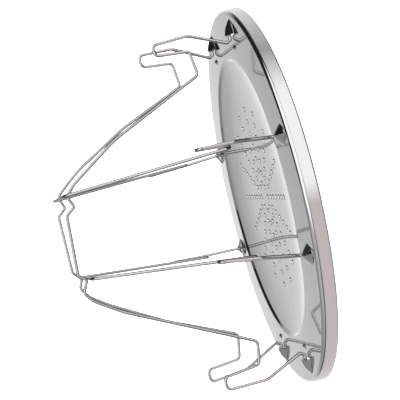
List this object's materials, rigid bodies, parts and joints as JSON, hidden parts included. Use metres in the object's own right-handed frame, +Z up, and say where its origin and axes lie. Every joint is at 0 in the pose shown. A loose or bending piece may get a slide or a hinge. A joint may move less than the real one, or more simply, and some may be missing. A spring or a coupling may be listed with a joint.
{
  "type": "folding stove-top toaster",
  "caption": "Folding stove-top toaster: a round perforated steel plate with hinged bent-wire racks that hold slices of bread upright over a burner.",
  "frame": {"origin": "centre of the base plate's footprint, on the surface it stands on", "axes": "+Z up, +X and -X towards the two sides that the front and rear racks hold slices on, -Y towards the front rack"},
  "size_m": [0.23, 0.23, 0.1296],
  "materials": {
    "sheet_steel": "polished stainless steel sheet",
    "wire_steel": "bright drawn stainless steel wire"
  },
  "bodies": {
    "base": {"base_plate": "sheet_steel"},
    "front_rack": {"front_wire_rack": "wire_steel"},
    "rear_rack": {"rear_wire_rack": "wire_steel"},
    "right_rack": {"right_wire_rack": "wire_steel"},
    "left_rack": {"left_wire_rack": "wire_steel"}
  },
  "joints": [
    {"name": "front_rack_fold", "type": "hinge", "parent": "base", "child": "front_rack", "pos_m": [0, -0.0325, 0.01085], "axis": [-1, 0, 0], "range_deg": [0, 86]},
    {"name": "rear_rack_fold", "type": "hinge", "parent": "base", "child": "rear_rack", "pos_m": [0, 0.0325, 0.01085], "axis": [1, 0, 0], "range_deg": [0, 74]},
    {"name": "right_rack_swing", "type": "hinge", "parent": "base", "child": "right_rack", "pos_m": [0.0325, 0, 0.01085], "axis": [0, 1, 0], "range_deg": [0, 86]},
    {"name": "left_rack_swing", "type": "hinge", "parent": "base", "child": "left_rack", "pos_m": [-0.0325, 0, 0.01085], "axis": [0, -1, 0], "range_deg": [0, 89]}
  ]
}
